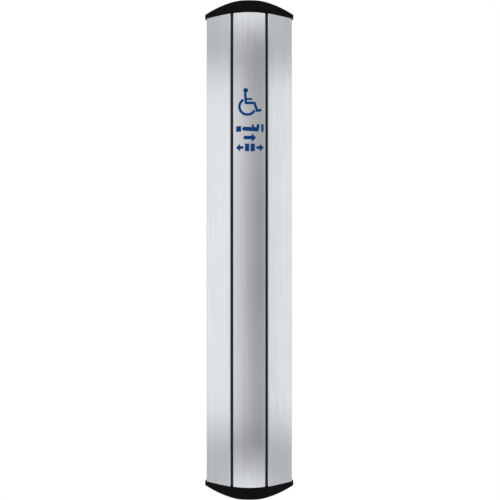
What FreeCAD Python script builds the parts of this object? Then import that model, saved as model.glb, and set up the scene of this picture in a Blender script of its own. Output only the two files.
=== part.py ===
"""Full-length press bar that opens a powered door.

A shallow housing, 36 inches tall, is screwed to a wall or a post. Two fixed wing panels flank a crowned
push bar. Pressing the bar anywhere slides it 3 mm towards the wall on four sprung posts, and strikers on
its back work two snap-action switches. Moulded caps close both ends and hold the extrusions together.

Frame: millimetres, +Z up, X across the face, the wall lies at y = 0 and the face looks towards -Y.
Helper functions take a depth d, measured from the wall towards the front, so y = -d.
The origin is the centre of the rear face.
"""

import FreeCAD
import Part
import math
import os

V = FreeCAD.Vector

# ---------------------------------------------------------------- driving dimensions
OVERALL_HEIGHT = 914.4      # top of the upper cap to bottom of the lower cap
BODY_WIDTH = 160.0          # across the two wing panels
BAR_DEPTH = 38.0            # wall to the crest of the push bar
BAR_FACE_WIDTH = 59.2
BAR_CROWN_RADIUS = 90.0
GAP_WIDTH = 4.4             # between the bar and each wing
TRAVEL = 3.0                # of the push bar, towards the wall

CAP_HEIGHT = 21.8           # joint plane to the top of the arch, at the middle
CAP_SIDE_OVERHANG = 3.0     # beyond the side of the body
CAP_FRONT_OVERHANG = 1.2    # beyond the faces of the bar and wings
CAP_CREST_WIDTH = 22.0      # flat stretch at the top of the arch
CAP_ARCH_RADIUS = 180.0     # of the shoulders beside it
CAP_FRONT_WALL = 2.6
CAP_SIDE_WALL = 4.5
CAP_EDGE_RADIUS = 3.0
CAP_LIP_RADIUS = 1.1        # round the edge that meets the body

PLATE_WALL = 2.5
WING_WALL = 2.0
WING_FALL = 28.8            # from the crest of the push bar back to the outer edge of a wing's face
WING_STEP = 1.6             # how far a wing's inner edge lies behind the edge of the bar
WING_BULGE = 0.6            # crown of a wing's face over its chord
WING_CORNER_RADIUS = 1.5
BAR_WALL = 2.6
BAR_SKIRT_WALL = 2.4
BAR_CORNER_RADIUS = 1.2

SLIDE_FIT = 0.15            # clearance between extrusions that slide together
STOP_GAP = 0.05             # left between two faces that meet at a stop
SHAFT_FIT = 0.075           # radial clearance of a post in its bush
SCREW_FIT = 0.05            # radial clearance of a screw in the hole it is threaded into
HOLE_FIT = 0.15             # radial clearance of a screw in a plain hole

# ---------------------------------------------------------------- heights of the stations
GUIDE_STATIONS = {"top": 380.0, "upper": 130.0, "lower": -130.0, "bottom": -380.0}
SWITCH_STATION = 255.0      # centre of each switch, above and below the middle
WALL_SCREW_SPACING = (44.0, 810.0)
GANG_BOX_SPACING = 83.3     # screw spacing of a single-gang wall box
CABLE_ENTRY_Z = -48.0        # cable entry, in the middle of the wall box
TERMINAL_BLOCK_Z = -87.0
SYMBOL_STATION = 271.5      # centre of the wheelchair symbol
ROW_STATIONS = (223.5, 205.5, 187.5)
SYMBOL_X = 1.2              # the symbols stand this far to the right of the bar's middle

# ---------------------------------------------------------------- worked out from those
WING_EDGE_DEPTH = BAR_DEPTH - WING_FALL         # wall to that edge
BODY_LENGTH = OVERALL_HEIGHT - 2 * CAP_HEIGHT
BODY_TOP = BODY_LENGTH / 2
BODY_HALF = BODY_WIDTH / 2
BAR_HALF = BAR_FACE_WIDTH / 2
WING_INNER_X = BAR_HALF + GAP_WIDTH


# ================================================================ shape helpers
def pt(x, d, z=0.0):
    return V(x, -d, z)


def box(x0, x1, d0, d1, z0, z1):
    return Part.makeBox(x1 - x0, d1 - d0, z1 - z0, V(x0, -d1, z0))


def rod_along_d(x, z, radius, d0, d1):
    """A cylinder square to the wall."""
    return Part.makeCylinder(radius, d1 - d0, pt(x, d0, z), V(0, -1, 0))


def rod_along_x(d, z, radius, x0, x1):
    return Part.makeCylinder(radius, x1 - x0, pt(x0, d, z), V(1, 0, 0))


def rod_along_z(x, d, radius, z0, z1):
    return Part.makeCylinder(radius, z1 - z0, pt(x, d, z0), V(0, 0, 1))


def hex_along(origin, direction, across_flats, length):
    """A hexagonal bar that starts at origin."""
    corner = across_flats / math.sqrt(3)
    axis = V(*direction)
    side = V(0, 0, 1) if abs(axis.z) < 0.5 else V(1, 0, 0)
    other = axis.cross(side)
    ring = [
        origin + side * (corner * math.cos(k * math.pi / 3)) + other * (corner * math.sin(k * math.pi / 3))
        for k in range(7)
    ]
    return Part.Face(Part.makePolygon(ring)).extrude(axis * length)


def is_arc(step):
    return isinstance(step[0], tuple)


def prism(outline, z0, z1):
    """Extrudes an outline along Z. The outline is a list of (x, d) corners; a pair of points, as in
    ((x, d), (x, d)), is an arc: through the first point, to the second."""
    edges = []
    here = pt(*outline[0], z0)
    for step in outline[1:] + [outline[0]]:
        if is_arc(step):
            through, end = pt(*step[0], z0), pt(*step[1], z0)
            edges.append(Part.Arc(here, through, end).toShape())
        else:
            end = pt(*step, z0)
            edges.append(Part.LineSegment(here, end).toShape())
        here = end
    return Part.Face(Part.Wire(edges)).extrude(V(0, 0, z1 - z0))


def walked_back(steps):
    """The same steps on the other side of the middle, from the end of the last to the end of the first."""
    back = []
    for step, before in zip(steps[:0:-1], steps[-2::-1]):
        x, d = before[1] if is_arc(before) else before
        if is_arc(step):
            through_x, through_d = step[0]
            back.append(((-through_x, through_d), (-x, d)))
        else:
            back.append((-x, d))
    return back


def mirrored_outline(half):
    """A closed outline from its right half."""
    x, d = half[-1]
    return half + [(-x, d)] + walked_back(half)


def mirror_x(shape):
    return shape.mirror(V(0, 0, 0), V(1, 0, 0))


def mirror_z(shape):
    return shape.mirror(V(0, 0, 0), V(0, 0, 1))


def joined(shapes):
    result = shapes[0]
    for other in shapes[1:]:
        result = result.fuse(other)
    return result.removeSplitter()


def cut_all(shape, tools):
    return shape.cut(Part.makeCompound(tools))


def long_edges_at(shape, x, d):
    """The edges of a shape that run along Z at this x and depth."""
    found = []
    for edge in shape.Edges:
        ends = [v.Point for v in edge.Vertexes]
        if len(ends) == 2 and all(math.hypot(p.x - x, p.y + d) < 0.01 for p in ends):
            found.append(edge)
    return found


def save(name, shape):
    solids = shape.Solids
    if not solids or not all(s.isValid() for s in solids):
        raise RuntimeError(f"{name} is not made of valid solids")
    made = solids[0] if len(solids) == 1 else Part.makeCompound(solids)
    made.exportStep(f"parts/{name}.step")
    print(f"{name}: {len(solids)} solid(s), {sum(s.Volume for s in solids) / 1000:.2f} cm3")


# ================================================================ the faces' curves
CROWN_CENTRE_D = BAR_DEPTH - BAR_CROWN_RADIUS


def bar_face_depth(x, inset=0.0):
    """Depth of the push bar's crowned face, or of the surface that lies inset below it."""
    return CROWN_CENTRE_D + math.sqrt((BAR_CROWN_RADIUS - inset) ** 2 - x**2)


WING_INNER_DEPTH = bar_face_depth(BAR_HALF) - WING_STEP


def circle_over_chord(a, b, bulge):
    """Centre and radius of the arc from a to b that stands bulge proud of its chord, away from the wall."""
    half = math.dist(a, b) / 2
    radius = (half**2 + bulge**2) / (2 * bulge)
    along = ((b[0] - a[0]) / (2 * half), (b[1] - a[1]) / (2 * half))
    inwards = (-abs(along[1]), -abs(along[0]))
    middle = ((a[0] + b[0]) / 2, (a[1] + b[1]) / 2)
    drop = radius - bulge
    return (middle[0] + inwards[0] * drop, middle[1] + inwards[1] * drop), radius


WING_CENTRE, WING_RADIUS = circle_over_chord(
    (WING_INNER_X, WING_INNER_DEPTH), (BODY_HALF, WING_EDGE_DEPTH), WING_BULGE
)


def wing_face_depth(x, inset=0.0):
    return WING_CENTRE[1] + math.sqrt((WING_RADIUS - inset) ** 2 - (x - WING_CENTRE[0]) ** 2)


# ================================================================ the extruded section
# Foot of the wing's outer wall, which grips the raised rim of the base plate.
RIM_UNDERSIDE = 2.3
RIM_TOP = 4.6
RIM_WEB_X = BODY_HALF - 6.6      # outer face of the web that carries the rim
RIM_WEB_WALL = 2.4
RIM_END_X = BODY_HALF - WING_WALL - 0.4
WING_TOE_X = RIM_WEB_X + 1.2

# Toe of the wing's inner leg, which slides under a hook of the base plate.
LEG_WALL = 2.0
TOE_REACH = 3.8
TOE_HEIGHT = 2.0
HOOK_WALL = 2.2
HOOK_LIP = 2.1

# Lip on the leg and foot on the bar's skirt: together they are the bar's outer stop.
LIP_UNDERSIDE = 15.4
LIP_HEIGHT = 2.0
LIP_REACH = 2.8
FOOT_HEIGHT = 2.0
FOOT_CLEAR = 1.0                 # foot to leg

# Groove for the gap seal, near the top of the leg.
GROOVE_TOP = WING_INNER_DEPTH - 3.0
GROOVE_BOTTOM = GROOVE_TOP - 1.6
GROOVE_DEPTH = 1.6
LEG_THICK_WALL = 3.6
LEG_THICK_FROM = GROOVE_BOTTOM - 2.3

# T-slot on the back of the bar.
SLOT_LIP_TOP = BAR_DEPTH - 9.0
SLOT_LIP_BOTTOM = SLOT_LIP_TOP - 2.0
SLOT_LIP_X = 10.6
SLOT_RIB_X = 13.0
SLOT_RIB_WALL = 2.0

# Screw ports of the base plate, which take the end-cap screws.
PORT_X = BODY_HALF - 23.0
PORT_D = 7.2
PORT_RADIUS = 4.0
PORT_SLIT = 1.4
CAP_SCREW_RADIUS = 2.0


def wing_panel():
    """The right wing: a crowned face, an outer wall that grips the rim, and a leg with the bar's lip."""
    leg_x = WING_INNER_X
    leg_back_x = leg_x + LEG_WALL
    thick_back_x = leg_x + LEG_THICK_WALL
    wall_x = BODY_HALF - WING_WALL
    middle_x = (WING_INNER_X + BODY_HALF) / 2
    outline = [
        (BODY_HALF, 0.0),
        (BODY_HALF, WING_EDGE_DEPTH),
        ((middle_x, wing_face_depth(middle_x)), (leg_x, WING_INNER_DEPTH)),
        (leg_x, GROOVE_TOP),
        (leg_x + GROOVE_DEPTH, GROOVE_TOP),
        (leg_x + GROOVE_DEPTH, GROOVE_BOTTOM),
        (leg_x, GROOVE_BOTTOM),
        (leg_x, LIP_UNDERSIDE + LIP_HEIGHT),
        (leg_x - LIP_REACH, LIP_UNDERSIDE + LIP_HEIGHT),
        (leg_x - LIP_REACH, LIP_UNDERSIDE),
        (leg_x, LIP_UNDERSIDE),
        (leg_x, PLATE_WALL),
        (leg_back_x + TOE_REACH, PLATE_WALL),
        (leg_back_x + TOE_REACH, PLATE_WALL + TOE_HEIGHT),
        (leg_back_x, PLATE_WALL + TOE_HEIGHT),
        (leg_back_x, LEG_THICK_FROM - LEG_THICK_WALL + LEG_WALL),
        (thick_back_x, LEG_THICK_FROM),
        (thick_back_x, wing_face_depth(thick_back_x, WING_WALL)),
        ((middle_x, wing_face_depth(middle_x, WING_WALL)), (wall_x, wing_face_depth(wall_x, WING_WALL))),
        (wall_x, RIM_TOP + SLIDE_FIT + WING_WALL),
        (WING_TOE_X, RIM_TOP + SLIDE_FIT + WING_WALL),
        (WING_TOE_X, RIM_TOP + SLIDE_FIT),
        (wall_x, RIM_TOP + SLIDE_FIT),
        (wall_x, RIM_UNDERSIDE - SLIDE_FIT),
        (WING_TOE_X, RIM_UNDERSIDE - SLIDE_FIT),
        (WING_TOE_X, 0.0),
    ]
    panel = prism(outline, -BODY_TOP, BODY_TOP)
    corners = long_edges_at(panel, BODY_HALF, WING_EDGE_DEPTH)
    corners += long_edges_at(panel, leg_x, WING_INNER_DEPTH)
    return panel.makeFillet(WING_CORNER_RADIUS, corners)


def gap_seal():
    """Right-hand rubber strip, which fills the gap. Its barb sits in the groove of the wing's leg."""
    barb_fit = 0.1
    bar_side = BAR_HALF + 0.4
    outline = [
        (bar_side, GROOVE_BOTTOM - 0.6),
        (WING_INNER_X, GROOVE_BOTTOM - 0.6),
        (WING_INNER_X, GROOVE_BOTTOM + barb_fit),
        (WING_INNER_X + GROOVE_DEPTH - barb_fit, GROOVE_BOTTOM + barb_fit),
        (WING_INNER_X + GROOVE_DEPTH - barb_fit, GROOVE_TOP - barb_fit),
        (WING_INNER_X, GROOVE_TOP - barb_fit),
        (WING_INNER_X, WING_INNER_DEPTH - WING_CORNER_RADIUS),
        (bar_side, WING_INNER_DEPTH - WING_CORNER_RADIUS + 0.6),
    ]
    return prism(outline, -BODY_TOP, BODY_TOP)


BAR_END_CLEARANCE = 0.8
BAR_TOP = BODY_TOP - BAR_END_CLEARANCE


def push_bar():
    """The moving extrusion: crowned face, two skirts with out-turned feet, and a T-slot on its back."""
    skirt_x = BAR_HALF - BAR_SKIRT_WALL
    rib_x = SLOT_RIB_X + SLOT_RIB_WALL
    foot_x = WING_INNER_X - FOOT_CLEAR
    foot_top = LIP_UNDERSIDE - STOP_GAP

    edge_d = bar_face_depth(BAR_HALF)

    def inner(x):
        return (x, bar_face_depth(x, BAR_WALL))

    half = [
        (BAR_HALF, foot_top),
        (foot_x, foot_top),
        (foot_x, foot_top - FOOT_HEIGHT),
        (skirt_x, foot_top - FOOT_HEIGHT),
        inner(skirt_x),
        (inner((skirt_x + rib_x) / 2), inner(rib_x)),
        (rib_x, SLOT_LIP_BOTTOM),
        (SLOT_LIP_X, SLOT_LIP_BOTTOM),
        (SLOT_LIP_X, SLOT_LIP_TOP),
        (SLOT_RIB_X, SLOT_LIP_TOP),
        inner(SLOT_RIB_X),
    ]
    face = [(-BAR_HALF, edge_d), ((0.0, BAR_DEPTH), (BAR_HALF, edge_d))]
    slot_top = [(inner(0.0), inner(-SLOT_RIB_X))]
    outline = face + half + slot_top + walked_back(half)
    bar = prism(outline, -BAR_TOP, BAR_TOP)
    corners = long_edges_at(bar, BAR_HALF, edge_d) + long_edges_at(bar, -BAR_HALF, edge_d)
    return bar.makeFillet(BAR_CORNER_RADIUS, corners)


# ================================================================ the guide stations
POST_RADIUS = 3.0
POST_FLANGE_RADIUS = 6.0
POST_FLANGE = 1.5
POST_RIVET_RADIUS = 2.5
BUSH_END = SLOT_LIP_TOP - 0.4
POST_TIP = BUSH_END - TRAVEL - 1.1
BUSH_ENGAGEMENT = 7.5            # length of post inside its bush at rest
BLOCK_HALF_X = 11.5
BLOCK_HALF_Z = 12.0
BLOCK_BACK = PLATE_WALL + POST_FLANGE + TRAVEL + 2.0
POCKET_RADIUS = 6.0
POCKET_END = POST_TIP - BUSH_ENGAGEMENT
HEAD_HALF_X = SLOT_RIB_X - SLIDE_FIT
HEAD_TOP = bar_face_depth(HEAD_HALF_X, BAR_WALL) - SLIDE_FIT
GRUB_RADIUS = 2.0
GRUB_OFFSET_Z = 9.4
BUFFER_RADIUS = 2.4
BUFFER_X = 9.0
SPRING_WIRE = 1.0
SPRING_MEAN_RADIUS = 4.7
SPRING_COILS = 6.0


def guide_post(z):
    """A flanged steel pin, riveted through the base plate."""
    flange_top = PLATE_WALL + POST_FLANGE
    tip = 0.6
    post = joined([
        rod_along_d(0, z, POST_RIVET_RADIUS, 0.2, PLATE_WALL),
        rod_along_d(0, z, POST_FLANGE_RADIUS, PLATE_WALL, flange_top),
        rod_along_d(0, z, POST_RADIUS, flange_top, POST_TIP - tip),
        Part.makeCone(POST_RADIUS, POST_RADIUS - tip, tip, pt(0, POST_TIP - tip, z), V(0, -1, 0)),
    ])
    return post


def t_head(half_z, z):
    """The head and neck that slide in the bar's T-slot."""
    neck_x = SLOT_LIP_X - SLIDE_FIT
    head = box(-HEAD_HALF_X, HEAD_HALF_X, SLOT_LIP_TOP + SLIDE_FIT, HEAD_TOP, z - half_z, z + half_z)
    neck = box(-neck_x, neck_x, SLOT_LIP_BOTTOM - SLIDE_FIT, HEAD_TOP, z - half_z, z + half_z)
    return head.fuse(neck)


def guide_block(z):
    """Moulded block in the bar's T-slot: a bush for the post, and a pocket for the spring round it."""
    z0, z1 = z - BLOCK_HALF_Z, z + BLOCK_HALF_Z
    body = box(-BLOCK_HALF_X, BLOCK_HALF_X, BLOCK_BACK, SLOT_LIP_BOTTOM - SLIDE_FIT, z0, z1)
    block = joined([body, t_head(BLOCK_HALF_Z, z)])
    return cut_all(block, [
        rod_along_d(0, z, POCKET_RADIUS, BLOCK_BACK, POCKET_END),
        rod_along_d(0, z, POST_RADIUS + SHAFT_FIT, POCKET_END, BUSH_END),
        rod_along_d(0, z + GRUB_OFFSET_Z, GRUB_RADIUS + SCREW_FIT, BLOCK_BACK, HEAD_TOP),
    ])


def grub_screw(z):
    """Screw that jams a guide block in the T-slot, with a hexagon socket in its rear end."""
    length = 10.0
    point = 1.0
    tip_d = bar_face_depth(0, BAR_WALL) - SCREW_FIT
    back_d = tip_d - length
    screw_z = z + GRUB_OFFSET_Z
    body = rod_along_d(0, screw_z, GRUB_RADIUS, back_d, tip_d - point)
    cone = Part.makeCone(GRUB_RADIUS, GRUB_RADIUS - point, point, pt(0, tip_d - point, screw_z), V(0, -1, 0))
    socket = hex_along(pt(0, back_d, screw_z), (0, -1, 0), 2.0, 2.5)
    return body.fuse(cone).removeSplitter().cut(socket)


def return_spring(z):
    """Compression spring round a post, from its flange to the end of the block's pocket."""
    start = PLATE_WALL + POST_FLANGE + SPRING_WIRE / 2
    height = POCKET_END - SPRING_WIRE / 2 - start
    helix = Part.makeLongHelix(height / SPRING_COILS, height, SPRING_MEAN_RADIUS)
    section = Part.Wire(Part.makeCircle(SPRING_WIRE / 2, V(SPRING_MEAN_RADIUS, 0, 0), V(0, 1, 0)))
    coil = Part.Wire(helix.Edges).makePipeShell([section], True, True)
    coil.rotate(V(0, 0, 0), V(1, 0, 0), 90)
    coil.translate(pt(0, start, z))
    return coil


def rubber_buffers():
    """Two buffers under each block, which stop the bar at the end of its travel."""
    top = BLOCK_BACK - TRAVEL - STOP_GAP
    return Part.makeCompound([
        rod_along_d(s * BUFFER_X, z, BUFFER_RADIUS, PLATE_WALL, top)
        for z in GUIDE_STATIONS.values()
        for s in (-1, 1)
    ])


# ================================================================ the switches
CASE_HALF_X = 5.15
CASE_HEIGHT = 15.9
CASE_FRONT = SLOT_LIP_TOP - TRAVEL - 0.6       # the strikers stop short of it at full travel
CASE_BACK = CASE_FRONT - CASE_HEIGHT
CASE_HALF_Z = 13.9
FIXING_SCREW_RADIUS = 1.5
FIXING_HOLES = ((11.1, 13.1), (-11.1, 2.8))     # along the case, and up from its back
NUT_HEIGHT = 2.4
NUT_FLATS = 5.5
PLUNGER_RADIUS = 1.3
PLUNGER_Z = 2.5
PIVOT_Z = 12.5
PIVOT_D = CASE_FRONT + 1.6
PIVOT_PIN_RADIUS = 0.55
BARREL_RADIUS = 1.2
LEVER_WALL = 0.6
LEVER_HALF_X = 2.25
LEVER_LENGTH = 26.0
LEVER_REST_DEG = 4.5
STRIKE_RADIUS = 22.0                             # pivot to the point that the striker presses
TOUCH_GAP = 0.15                                 # striker to lever, and lever to plunger, at rest
EAR_WALL = 1.4
EAR_HALF_Z = 1.3
BLADE_LENGTH = 6.0
BLADE_HALF_X = 3.175
BLADE_WALL = 0.8
COMMON_BLADE_Z = -10.5
NC_BLADE_Z = 0.0
NO_BLADE_Z = 9.0
BRACKET_WALL = 1.5
BRACKET_HALF_Z = 13.0
BRACKET_FOOT = 14.0
BRACKET_SCREW_RADIUS = 2.0
BRACKET_SCREW_Z = 8.0
WIRE_RADIUS = 0.85
WIRE_D = CASE_BACK - BLADE_LENGTH + 2.5        # through the holes of the blades
LANES = {COMMON_BLADE_Z: 15.5, NO_BLADE_Z: 22.0}   # x of each wire's run down the housing
STRIKER_HALF_Z = 7.0
STRIKER_SCREW_RADIUS = 2.0

BRACKET_FACE_X = -CASE_HALF_X - BRACKET_WALL
BRACKET_SCREW_X = BRACKET_FACE_X - BRACKET_FOOT / 2


def lever_surface_depth(reach, height):
    """Depth, at this reach from the pivot, of the lever's surface that lies height off the pin's axis."""
    tilt = math.radians(LEVER_REST_DEG)
    return PIVOT_D + height / math.cos(tilt) + reach * math.tan(tilt)


def switch_case(zs):
    """Moulded case of a snap-action switch, with two ears for the lever's pin."""
    z0, z1 = zs - CASE_HALF_Z, zs + CASE_HALF_Z
    case = box(-CASE_HALF_X, CASE_HALF_X, CASE_BACK, CASE_FRONT, z0, z1)
    upright = [e for e in case.Edges if abs(e.Vertexes[0].X - e.Vertexes[1].X) > 1]
    case = case.makeFillet(0.8, upright)
    ear_x = LEVER_HALF_X + 0.3
    ear_top = PIVOT_D + 1.1
    pivot_z = zs + PIVOT_Z
    for x0 in (ear_x, -ear_x - EAR_WALL):
        ear = box(x0, x0 + EAR_WALL, CASE_FRONT - 1.0, ear_top, pivot_z - EAR_HALF_Z, pivot_z + EAR_HALF_Z)
        case = case.fuse(ear)
    case = case.removeSplitter()
    holes = [
        rod_along_x(CASE_BACK + up, zs + along, FIXING_SCREW_RADIUS + HOLE_FIT, -CASE_HALF_X, CASE_HALF_X)
        for along, up in FIXING_HOLES
    ]
    holes.append(rod_along_x(PIVOT_D, pivot_z, PIVOT_PIN_RADIUS + 0.02, -CASE_HALF_X, CASE_HALF_X))
    holes.append(rod_along_d(0, zs + PLUNGER_Z, PLUNGER_RADIUS + SHAFT_FIT, CASE_FRONT - 5.0, CASE_FRONT))
    return cut_all(case, holes)


def switch_plunger(zs):
    """Button that the lever presses. It slides in the case."""
    tip = lever_surface_depth(PIVOT_Z - PLUNGER_Z, BARREL_RADIUS - LEVER_WALL) - TOUCH_GAP
    dome = 0.5
    z = zs + PLUNGER_Z
    stem = rod_along_d(0, z, PLUNGER_RADIUS, CASE_FRONT - 2.5, tip - dome)
    cap = Part.makeCone(PLUNGER_RADIUS, PLUNGER_RADIUS - dome, dome, pt(0, tip - dome, z), V(0, -1, 0))
    return stem.fuse(cap).removeSplitter()


def switch_lever(zs):
    """Sheet-metal lever with a barrel round its pin."""
    pivot = pt(0, PIVOT_D, zs + PIVOT_Z)
    plate = box(
        -LEVER_HALF_X,
        LEVER_HALF_X,
        PIVOT_D + BARREL_RADIUS - LEVER_WALL,
        PIVOT_D + BARREL_RADIUS,
        zs + PIVOT_Z - LEVER_LENGTH,
        zs + PIVOT_Z,
    )
    barrel = rod_along_x(PIVOT_D, zs + PIVOT_Z, BARREL_RADIUS, -LEVER_HALF_X, LEVER_HALF_X)
    bore = rod_along_x(PIVOT_D, zs + PIVOT_Z, PIVOT_PIN_RADIUS + 0.04, -LEVER_HALF_X, LEVER_HALF_X)
    lever = plate.fuse(barrel).removeSplitter().cut(bore)
    lever.rotate(pivot, V(1, 0, 0), -LEVER_REST_DEG)
    return lever


def switch_lever_pin(zs):
    half = LEVER_HALF_X + 0.3 + EAR_WALL
    return rod_along_x(PIVOT_D, zs + PIVOT_Z, PIVOT_PIN_RADIUS, -half, half)


def switch_terminals(zs):
    """Common, normally closed and normally open blades, each with a hole for the wire."""
    blades = []
    for blade_z in (COMMON_BLADE_Z, NC_BLADE_Z, NO_BLADE_Z):
        z = zs + blade_z
        blade = box(
            -BLADE_HALF_X,
            BLADE_HALF_X,
            CASE_BACK - BLADE_LENGTH,
            CASE_BACK,
            z - BLADE_WALL / 2,
            z + BLADE_WALL / 2,
        )
        hole = Part.makeCylinder(0.9, BLADE_WALL, pt(0, WIRE_D, z - BLADE_WALL / 2))
        blades.append(blade.cut(hole))
    return Part.makeCompound(blades)


def switch_bracket(zs):
    """Bent steel angle: the upright carries the case, the foot is screwed to the base plate."""
    z0, z1 = zs - BRACKET_HALF_Z, zs + BRACKET_HALF_Z
    upright = box(BRACKET_FACE_X, -CASE_HALF_X, PLATE_WALL, CASE_FRONT - 0.4, z0, z1)
    foot = box(BRACKET_FACE_X - BRACKET_FOOT, -CASE_HALF_X, PLATE_WALL, PLATE_WALL + BRACKET_WALL, z0, z1)
    angle = joined([upright, foot])
    bend = long_edges_at(angle, BRACKET_FACE_X, PLATE_WALL + BRACKET_WALL)
    angle = angle.makeFillet(1.0, bend)
    angle = angle.makeFillet(1.0 + BRACKET_WALL * 0.9, long_edges_at(angle, -CASE_HALF_X, PLATE_WALL))
    holes = [
        rod_along_x(CASE_BACK + up, zs + along, FIXING_SCREW_RADIUS + HOLE_FIT, BRACKET_FACE_X, -CASE_HALF_X)
        for along, up in FIXING_HOLES
    ]
    holes += [
        rod_along_d(BRACKET_SCREW_X, zs + s * BRACKET_SCREW_Z, BRACKET_SCREW_RADIUS + HOLE_FIT, 0, 6)
        for s in (-1, 1)
    ]
    return cut_all(angle, holes)


def switch_screws(zs):
    """Two pan-head screws through the case and the bracket."""
    head = 2.0
    head_radius = 2.75
    end_x = BRACKET_FACE_X - NUT_HEIGHT - 0.7
    screws = []
    for along, up in FIXING_HOLES:
        d, z = CASE_BACK + up, zs + along
        shank = rod_along_x(d, z, FIXING_SCREW_RADIUS, end_x, CASE_HALF_X)
        pan = rod_along_x(d, z, head_radius, CASE_HALF_X, CASE_HALF_X + head)
        socket = hex_along(pt(CASE_HALF_X + head, d, z), (-1, 0, 0), 2.0, 1.1)
        screws.append(shank.fuse(pan).removeSplitter().cut(socket))
    return Part.makeCompound(screws)


def switch_nuts(zs):
    nuts = []
    for along, up in FIXING_HOLES:
        d, z = CASE_BACK + up, zs + along
        x1 = BRACKET_FACE_X
        nut = hex_along(pt(x1, d, z), (-1, 0, 0), NUT_FLATS, NUT_HEIGHT)
        nuts.append(nut.cut(rod_along_x(d, z, FIXING_SCREW_RADIUS + SCREW_FIT, x1 - NUT_HEIGHT, x1)))
    return Part.makeCompound(nuts)


def bracket_screws(zs):
    """Two pan-head screws that hold the bracket's foot to the base plate."""
    seat = PLATE_WALL + BRACKET_WALL
    return Part.makeCompound([
        pan_screw_along_d(BRACKET_SCREW_X, zs + s * BRACKET_SCREW_Z, BRACKET_SCREW_RADIUS, 0.4, seat)
        for s in (-1, 1)
    ])


def pan_screw_along_d(x, z, radius, end_d, seat_d):
    """A pan-head screw square to the wall, its head towards the front."""
    head = radius * 1.2
    screw = joined([
        rod_along_d(x, z, radius, end_d, seat_d),
        rod_along_d(x, z, radius * 1.9, seat_d, seat_d + head),
    ])
    return screw.cut(hex_along(pt(x, seat_d + head, z), (0, 1, 0), radius * 1.25, head * 0.6))


def switch_wires(side):
    """The common and normally open leads, from their blades along the housing to the terminal block.
    Side is 1 for the upper switch and -1 for the lower."""
    wires = []
    for blade_z, lane_x in LANES.items():
        z = side * (SWITCH_STATION + blade_z)
        end = TERMINAL_BLOCK_Z + side * (CLAMP_OFFSET_Z - 2.0)
        corners = [pt(BLADE_HALF_X, WIRE_D, z), pt(lane_x, WIRE_D, z), pt(lane_x, WIRE_D, end)]
        wires.append(tube(corners, 0.6 * (lane_x - BLADE_HALF_X), WIRE_RADIUS))
    return Part.makeCompound(wires)


def tube(corners, bend, radius):
    """A round wire along straight runs that meet in tangent arcs."""
    edges = []
    here = corners[0]
    for before, corner, after in zip(corners, corners[1:], corners[2:]):
        into = (corner - before).normalize()
        out = (after - corner).normalize()
        turn = into.getAngle(out)
        set_back = bend * math.tan(turn / 2)
        start, end = corner - into * set_back, corner + out * set_back
        inside = (out - into).normalize()
        middle = corner + inside * (bend / math.cos(turn / 2) - bend)
        edges.append(Part.LineSegment(here, start).toShape())
        edges.append(Part.Arc(start, middle, end).toShape())
        here = end
    edges.append(Part.LineSegment(here, corners[-1]).toShape())
    section = Part.Wire(Part.makeCircle(radius, corners[0], corners[1] - corners[0]))
    return Part.Wire(edges).makePipeShell([section], True, False)


def striker(zs):
    """Block in the bar's T-slot that holds the striker screw over the lever."""
    z = zs + PIVOT_Z - STRIKE_RADIUS
    notch_x = LEVER_HALF_X + 1.3
    notch_top = SLOT_LIP_TOP + 2.0
    z0, z1 = z - STRIKER_HALF_Z, z + STRIKER_HALF_Z
    head = box(-HEAD_HALF_X, HEAD_HALF_X, SLOT_LIP_TOP + SLIDE_FIT, HEAD_TOP, z0, z1)
    return cut_all(head, [
        box(-notch_x, notch_x, SLOT_LIP_TOP, notch_top, z0, z1),
        rod_along_d(0, z, STRIKER_SCREW_RADIUS + SCREW_FIT, notch_top, HEAD_TOP),
    ])


def striker_screw(zs):
    """Adjusting screw whose domed end presses the lever."""
    z = zs + PIVOT_Z - STRIKE_RADIUS
    dome = 0.7
    tip = lever_surface_depth(STRIKE_RADIUS, BARREL_RADIUS) + TOUCH_GAP
    shank = rod_along_d(0, z, STRIKER_SCREW_RADIUS, tip + dome, HEAD_TOP)
    end = Part.makeCone(STRIKER_SCREW_RADIUS - dome, STRIKER_SCREW_RADIUS, dome, pt(0, tip, z), V(0, -1, 0))
    socket = hex_along(pt(0, HEAD_TOP, z), (0, 1, 0), 2.0, 2.0)
    return shank.fuse(end).removeSplitter().cut(socket)


# ================================================================ wiring inside the housing
BLOCK_X = (11.0, 26.5)
BLOCK_LENGTH = 22.0
BLOCK_FRONT = WIRE_D + 8.0
BLOCK_SCREW_SEAT = WIRE_D + 3.5
BLOCK_SCREW_X = sum(LANES.values()) / len(LANES)
CLAMP_OFFSET_Z = 5.0
WIRE_HOLE_RADIUS = 1.6
CLIP_HALF_Z = 4.0
CLIP_STATIONS = (205.0, 45.0, -150.0, -215.0)
GROMMET_HOLE_RADIUS = 11.0
GROMMET_BORE_RADIUS = 7.5
GROMMET_FLANGE_RADIUS = 13.5
GROMMET_FRONT = 4.3
BLOCK_SCREW_RADIUS = 1.5


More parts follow.
